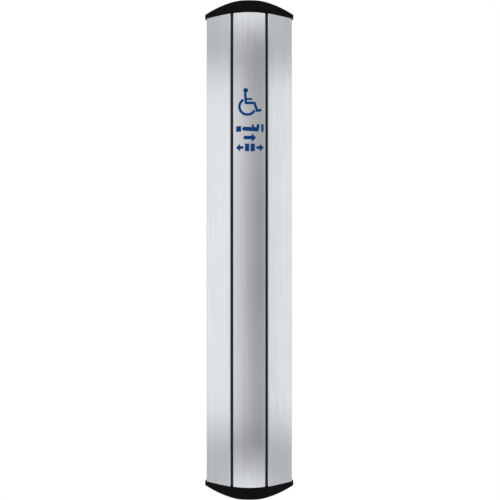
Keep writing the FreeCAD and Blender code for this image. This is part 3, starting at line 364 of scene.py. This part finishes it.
STAINLESS = small_metal("turned_stainless_steel", "c6c5c2", "adacaa", 0.28, 0.5)
ZINC = small_metal("zinc_plated_steel", "b9bec2", "a0a6aa", 0.34, 0.8)
SPRING_WIRE = small_metal("drawn_spring_wire", "9c9b98", "807f7d", 0.30, 0.4)
TERMINAL_BRASS = small_metal("tinned_brass", "c9bd94", "b5a67a", 0.32, 0.5)
print("made four small metals")

# %% [markdown]
# ## Blue film
#
# The symbols are cut from a thin vinyl film with a matt blue pigment. It scatters light instead of
# mirroring it as the metal does, so it keeps one colour along the bar. Only a faint unevenness of the ink
# and a weak sheen are left to vary.


# %% Blue film
def blue_film():
    material, tree, place = new_material("printed_blue_vinyl_film")
    ink = add(tree, "ShaderNodeTexNoise", {"Vector": place, "Scale": 1 / (6 * MM), "Detail": 4.0})
    blues = [(0.35, srgb("003a78")), (0.7, srgb("004082"))]
    shader = add(
        tree,
        "ShaderNodeBsdfPrincipled",
        {
            "Base Color": add(tree, "ShaderNodeValToRGB", [ink], stops=blues),
            "Roughness": add(tree, "ShaderNodeMapRange", [ink, 0.3, 0.7, 0.46, 0.54]),
            "IOR": 1.5,
            "Specular IOR Level": 0.08,
        },
    )
    add(tree, "ShaderNodeOutputMaterial", {"Surface": shader})
    return material


FILM = blue_film()
print("made", FILM.name)

# %% [markdown]
# ## Giving every piece its finish
#
# A node of the model keeps its mesh, and only its material slot is filled. The names are plain words, so a
# short table finds the right finish for each. The first entry that occurs in a name counts.

# %% Finish of each node
FINISHES = [
    ("wing_panel", WING_METAL),
    ("push_bar", BAR_METAL),
    ("base_plate", MILL_METAL),
    ("end_cap", CAP_PLASTIC),
    ("gap_seal", SEAL_RUBBER),
    ("symbol", FILM),
    ("grommet", BUSH_RUBBER),
    ("buffers", BUSH_RUBBER),
    ("guide_block", ACETAL),
    ("guide_post", STAINLESS),
    ("return_spring", SPRING_WIRE),
    ("grub_screws", ZINC),
    ("switch_case", SWITCH_PHENOLIC),
    ("plunger", BUTTON_PLASTIC),
    ("lever", STAINLESS),
    ("switch_terminals", TERMINAL_BRASS),
    ("switch_wires", WIRE_JACKET),
    ("wire_clips", NYLON),
    ("terminal_block_screw", ZINC),
    ("terminal_block", NYLON),
    ("clamp_screws", TERMINAL_BRASS),
    ("cap_screws", STAINLESS),
    ("striker_screw", ZINC),
    ("striker", ACETAL),
    ("bracket", ZINC),
    ("screws", ZINC),
    ("nuts", ZINC),
]

for name, piece in nodes.items():
    piece.data.materials.clear()
    piece.data.materials.append(next(material for part, material in FINISHES if part in name))
print("finished", len(nodes), "nodes")

# %% [markdown]
# ## Return springs
#
# Four compression springs push the bar back out. A coiling machine feeds hard-drawn wire against a rolling
# point and a pitch tool. At both ends the tool is held back for a turn, so that the end coils lie against
# each other and the spring stands square on its seat. The plain helix in the model doesn't show that.
#
# The wire follows a path, so it suits Geometry Nodes. A line of points is numbered, and each number gives an
# angle and a height: small steps of height in the end turns and larger ones between them. Blurring the
# height rounds the change of pitch, as stiff wire would. A circle is then swept along the path. Modelling
# one coil and stacking copies would leave a step at each joint.

# %% Inputs of the spring's tree
SPRING_INPUTS = (
    ("Mean radius", "NodeSocketFloat"),
    ("Wire radius", "NodeSocketFloat"),
    ("Length", "NodeSocketFloat"),
    ("Turns", "NodeSocketFloat"),
    ("End turns", "NodeSocketFloat"),
    ("Points per turn", "NodeSocketInt"),
    ("Wire", "NodeSocketMaterial"),
)
COIL_CLEARANCE = 1.02
PITCH_BLUR = 24
WIRE_SIDES = 14
print("the spring's tree has", len(SPRING_INPUTS), "named inputs")


# %% Height of the wire above its seat
def wire_height(tree, given, turn):
    """Rises by one wire per turn in the end turns, and evenly through the turns between them."""
    pitch = add(tree, "ShaderNodeMath", [given["Wire radius"], 2 * COIL_CLEARANCE], operation="MULTIPLY")
    last = add(tree, "ShaderNodeMath", [given["Turns"], given["End turns"]], operation="SUBTRACT")
    first_end = add(tree, "ShaderNodeMath", [turn, given["End turns"]], operation="MINIMUM")
    past_last = add(tree, "ShaderNodeMath", [turn, last], operation="SUBTRACT")
    second_end = add(tree, "ShaderNodeMath", [past_last, 0.0], operation="MAXIMUM")
    closed_turns = add(tree, "ShaderNodeMath", [first_end, second_end], operation="ADD")
    closed_rise = add(tree, "ShaderNodeMath", [closed_turns, pitch], operation="MULTIPLY")

    width = add(tree, "ShaderNodeMath", [given["Wire radius"], 2.0], operation="MULTIPLY")
    between_centres = add(tree, "ShaderNodeMath", [given["Length"], width], operation="SUBTRACT")
    one_end = add(tree, "ShaderNodeMath", [pitch, given["End turns"]], operation="MULTIPLY")
    both_ends = add(tree, "ShaderNodeMath", [one_end, 2.0], operation="MULTIPLY")
    free_length = add(tree, "ShaderNodeMath", [between_centres, both_ends], operation="SUBTRACT")
    free_rise = add(tree, "ShaderNodeMapRange", [turn, given["End turns"], last, 0.0, free_length])

    rise = add(tree, "ShaderNodeMath", [closed_rise, free_rise], operation="ADD")
    rounded = add(tree, "GeometryNodeBlurAttribute", {0: rise, "Iterations": PITCH_BLUR}, data_type="FLOAT")
    return add(tree, "ShaderNodeMath", [rounded, given["Wire radius"]], operation="ADD")


print("the height of the wire is worked out from its number of turns")


# %% Tree that winds a spring
def spring_tree():
    """Winds a spring that stands on the origin, with its axis along -Y."""
    tree = bpy.data.node_groups.new("closed_end_spring", "GeometryNodeTree")
    for name, kind in SPRING_INPUTS:
        tree.interface.new_socket(name, in_out="INPUT", socket_type=kind)
    tree.interface.new_socket("Geometry", in_out="OUTPUT", socket_type="NodeSocketGeometry")
    given = add(tree, "NodeGroupInput").outputs

    steps = add(tree, "ShaderNodeMath", [given["Turns"], given["Points per turn"]], operation="MULTIPLY")
    count = add(tree, "ShaderNodeMath", [steps, 1.0], operation="ADD")
    index = add(tree, "GeometryNodeInputIndex")
    turn = add(tree, "ShaderNodeMath", [index, given["Points per turn"]], operation="DIVIDE")
    angle = add(tree, "ShaderNodeMath", [turn, math.tau], operation="MULTIPLY")
    cosine = add(tree, "ShaderNodeMath", [angle], operation="COSINE")
    sine = add(tree, "ShaderNodeMath", [angle], operation="SINE")
    place = {
        "X": add(tree, "ShaderNodeMath", [cosine, given["Mean radius"]], operation="MULTIPLY"),
        "Y": add(tree, "ShaderNodeMath", [wire_height(tree, given, turn), -1.0], operation="MULTIPLY"),
        "Z": add(tree, "ShaderNodeMath", [sine, given["Mean radius"]], operation="MULTIPLY"),
    }
    line = add(tree, "GeometryNodeMeshLine", {"Count": count})
    point = add(tree, "ShaderNodeCombineXYZ", place)
    path = add(tree, "GeometryNodeSetPosition", {"Geometry": line, "Position": point})
    curve = add(tree, "GeometryNodeMeshToCurve", {"Mesh": path})
    round_wire = {"Resolution": WIRE_SIDES, "Radius": given["Wire radius"]}
    ring = add(tree, "GeometryNodeCurvePrimitiveCircle", round_wire)
    swept = {"Curve": curve, "Profile Curve": ring, "Fill Caps": True}
    wire = add(tree, "GeometryNodeSetShadeSmooth", [add(tree, "GeometryNodeCurveToMesh", swept)])
    real = add(tree, "GeometryNodeRealizeInstances", [wire])
    finished = add(tree, "GeometryNodeSetMaterial", {"Geometry": real, "Material": given["Wire"]})
    add(tree, "NodeGroupOutput", [finished])
    return tree


SPRING_TREE = spring_tree()
print("tree", SPRING_TREE.name, "has", len(SPRING_TREE.nodes), "nodes")


# %% A mesh from a tree
def grown(name, tree, values):
    """A plain mesh object made by a geometry tree. Values are the tree's inputs by name."""
    holder = bpy.data.objects.new(name + "_holder", bpy.data.meshes.new(name + "_empty"))
    bpy.context.scene.collection.objects.link(holder)
    modifier = holder.modifiers.new("wind", "NODES")
    modifier.node_group = tree
    for socket in tree.interface.items_tree:
        if socket.in_out == "INPUT":
            modifier[socket.identifier] = values[socket.name]
    wound = holder.evaluated_get(bpy.context.evaluated_depsgraph_get())
    mesh = bpy.data.meshes.new_from_object(wound)
    mesh.name = name
    bpy.data.objects.remove(holder)
    piece = bpy.data.objects.new(name, mesh)
    bpy.context.scene.collection.objects.link(piece)
    return piece


print("a tree becomes a plain mesh before it joins the frame")

# %% [markdown]
# Each spring takes its length and its place from the box of the model's own spring. It stands on the flange
# of its post, which is at the box's rear.

# %% Wind the four springs
WIRE_RADIUS = 0.5 * MM
TURNS = 8.0
END_TURNS = 1.0
POINTS_PER_TURN = 40

for station in ("top", "upper", "lower", "bottom"):
    node = "return_spring_" + station
    near, far = (Vector(corner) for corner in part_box(node))
    length = far.y - near.y
    sizes = {
        "Mean radius": (far.x - near.x) / 2 - WIRE_RADIUS,
        "Wire radius": WIRE_RADIUS,
        "Length": length,
        "Turns": TURNS,
        "End turns": END_TURNS,
        "Points per turn": POINTS_PER_TURN,
        "Wire": SPRING_WIRE,
    }
    spring = grown("coil_spring_" + station, SPRING_TREE, sizes)
    seat = ((near.x + far.x) / 2, far.y, (near.z + far.z) / 2)
    spring.data.transform(Matrix.Translation(seat))
    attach(spring, "housing")
    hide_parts(node)
    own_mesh(spring)
    print(spring.name, "is", round(length / MM, 2), "mm long, with", len(spring.data.polygons), "faces")

# %% [markdown]
# ## Floor
#
# The object hangs on a wall in use. Here it stands free over a pale floor so that every side can be seen.
# The floor is a wide disc. It takes a soft shadow near the middle, and it fades to the white of the tent
# towards its rim, so that no edge shows.

# %% Floor
FLOOR_GAP = 0.45
FLOOR_REACH = 2.6
FLOOR_SIDES = 96
FADE_STARTS, FADE_ENDS = 0.2, 0.85


def floor_disc():
    rim = [math.tau * step / FLOOR_SIDES for step in range(FLOOR_SIDES)]
    mesh = bpy.data.meshes.new("floor")
    corners = [(FLOOR_REACH * math.cos(a), FLOOR_REACH * math.sin(a), low.z - FLOOR_GAP) for a in rim]
    mesh.from_pydata(corners, [], [tuple(range(FLOOR_SIDES))])
    disc = bpy.data.objects.new("floor", mesh)
    bpy.context.scene.collection.objects.link(disc)
    return disc


def floor_paint():
    material, tree, place = new_material("pale_floor_paint")
    grain = add(tree, "ShaderNodeTexNoise", {"Vector": place, "Scale": 5.0, "Detail": 2.0})
    whites = [(0.3, srgb("f6f6f5")), (0.7, srgb("f8f8f7"))]
    paint = {
        "Base Color": add(tree, "ShaderNodeValToRGB", [grain], stops=whites),
        "Roughness": 0.8,
        "Specular IOR Level": 0.2,
    }
    flat = add(tree, "ShaderNodeVectorMath", [place, (1.0, 1.0, 0.0)], operation="MULTIPLY")
    away = add(tree, "ShaderNodeVectorMath", [flat], operation="LENGTH").outputs["Value"]
    fade = add(tree, "ShaderNodeMapRange", [away, FADE_STARTS, FADE_ENDS, 0.0, 1.0])
    white = add(tree, "ShaderNodeEmission", {"Color": srgb("ffffff"), "Strength": 1.0})
    painted = add(tree, "ShaderNodeBsdfPrincipled", paint)
    faded = add(tree, "ShaderNodeMixShader", [fade, painted, white])
    add(tree, "ShaderNodeOutputMaterial", {"Surface": faded})
    return material


floor = floor_disc()
floor.data.materials.append(floor_paint())
floor.visible_glossy = False
print("floor at", round(low.z - FLOOR_GAP, 3), "m")

# %% [markdown]
# ## Light
#
# Shiny metal shows only what it reflects, so a studio puts a small shiny object inside a tent of white
# cloth. The tent here is the world itself: a brightness for each direction. The slope of the wing panels
# mirrors the cloth at the sides. The crowned bar mirrors a strip of the front that is bright on the left
# and dimmer to the right, which draws the long gradient across it. Towards both ends of such a tall object
# the reflection climbs past the top of the front cloth, and that is the darker band near each cap.
# Lamps with hard edges would give the same gradient, but they would also leave their outlines in the metal.

# %% Brightness of the tent
# Angles are in degrees. An edge is where one cloth starts to give way to the next, and where it has done so.
TENT_TOP = 45
UPPER_EDGE = (5, 13)
SHADE_EDGE = (17.2, 19.4)
OVERHEAD_EDGE = (21.3, 22.2)
SIDE_EDGE = (40, 46)
BACK_EDGE = (75, 95)
BACK_LEVEL = 0.6
WHITE_LEVEL = 1.0


def grey(level):
    return (level, level, level, 1.0)


def sideways(*stops):
    """Ramp stops from degrees to the left (minus) or right of the front."""
    return [((angle + 90) / 180, grey(level)) for angle, level in stops]


def upwards(*stops):
    """Ramp stops from degrees above or below the horizon."""
    return [(angle / TENT_TOP, grey(level)) for angle, level in stops]


FRONT_MIDDLE = sideways((-40, 0.98), (-20, 0.85), (-10, 0.71), (0, 0.625), (10, 0.55), (25, 0.40), (40, 0.39))
FRONT_UPPER = sideways((-40, 1.02), (-20, 0.93), (-10, 0.77), (0, 0.69), (10, 0.63), (25, 0.54), (40, 0.53))
FRONT_SHADE = sideways((-40, 0.40), (-20, 0.32), (-8, 0.17), (12, 0.11), (25, 0.15))
OVERHEAD = upwards((26, 1.45), (32, 0.8))
SIDE_CLOTH = upwards((16.8, 1.12), (19.4, 0.54), (21.2, 0.56), (23.5, 0.68), (34, 1.0))
print("the front of the tent has", len(FRONT_MIDDLE), "steps from left to right")


# %% Light tent
def light_tent():
    """White cloth all round, with panels of different brightness."""
    world = bpy.data.worlds.new("light_tent")
    bpy.context.scene.world = world
    world.use_nodes = True
    tree = world.node_tree
    tree.nodes.clear()

    way = add(tree, "ShaderNodeSeparateXYZ", [add(tree, "ShaderNodeTexCoord").outputs["Generated"]])
    forwards = add(tree, "ShaderNodeMath", [way.outputs["Y"], -1.0], operation="MULTIPLY")
    azimuth = add(tree, "ShaderNodeMath", [way.outputs["X"], forwards], operation="ARCTAN2")
    turned = add(tree, "ShaderNodeMath", [azimuth], operation="ABSOLUTE")
    climb = add(tree, "ShaderNodeMath", [way.outputs["Z"]], operation="ARCSINE")
    off_level = add(tree, "ShaderNodeMath", [climb], operation="ABSOLUTE")
    across = add(tree, "ShaderNodeMapRange", [azimuth, math.radians(-90), math.radians(90), 0.0, 1.0])
    height = add(tree, "ShaderNodeMapRange", [off_level, 0.0, math.radians(TENT_TOP), 0.0, 1.0])

    cloth = add(tree, "ShaderNodeValToRGB", [across], stops=FRONT_MIDDLE)
    for panel, over, (start, end) in (
        (FRONT_UPPER, across, UPPER_EDGE),
        (FRONT_SHADE, across, SHADE_EDGE),
        (OVERHEAD, height, OVERHEAD_EDGE),
    ):
        share = add(tree, "ShaderNodeMapRange", [height, start / TENT_TOP, end / TENT_TOP, 0.0, 1.0])
        next_cloth = add(tree, "ShaderNodeValToRGB", [over], stops=panel)
        cloth = add(tree, "ShaderNodeMix", {0: share, 6: cloth, 7: next_cloth}, data_type="RGBA").outputs[2]

    side = add(tree, "ShaderNodeValToRGB", [height], stops=SIDE_CLOTH)
    beside = add(tree, "ShaderNodeMapRange", [turned, *map(math.radians, SIDE_EDGE), 0.0, 1.0])
    cloth = add(tree, "ShaderNodeMix", {0: beside, 6: cloth, 7: side}, data_type="RGBA").outputs[2]
    behind = add(tree, "ShaderNodeMapRange", [turned, *map(math.radians, BACK_EDGE), 0.0, 1.0])
    back = {0: behind, 6: cloth, 7: grey(BACK_LEVEL)}
    cloth = add(tree, "ShaderNodeMix", back, data_type="RGBA").outputs[2]
    backdrop = {0: add(tree, "ShaderNodeLightPath").outputs["Is Camera Ray"], 6: cloth, 7: grey(WHITE_LEVEL)}
    plain = add(tree, "ShaderNodeMix", backdrop, data_type="RGBA").outputs[2]
    background = add(tree, "ShaderNodeBackground", {"Color": plain, "Strength": 1.0})
    add(tree, "ShaderNodeOutputWorld", {"Surface": background})


light_tent()
print("light tent ready")

# %% [markdown]
# ## Camera
#
# The camera stands about a metre in front of the middle of the bar, level and square to it. From so near,
# the ends are seen slightly from the side, which is what bends the straight joint of each cap into a curve.

# %% Camera
CAMERA_DISTANCE = 1.05
SENSOR_MM = 36.0
LENS_MM = 39.87
SIDE_SHIFT = 0.0015
NEAREST = 0.01

camera = bpy.data.objects.new("camera", bpy.data.cameras.new("camera"))
bpy.context.scene.collection.objects.link(camera)
camera.location = ((low.x + high.x) / 2, -CAMERA_DISTANCE, (low.z + high.z) / 2)
camera.rotation_euler = (math.radians(90), 0, 0)
camera.data.sensor_width = SENSOR_MM
camera.data.lens = LENS_MM
camera.data.shift_x = SIDE_SHIFT
camera.data.clip_start = NEAREST
bpy.context.scene.camera = camera
bpy.context.scene.view_settings.view_transform = "Standard"
print("camera at", [round(v, 3) for v in camera.location])
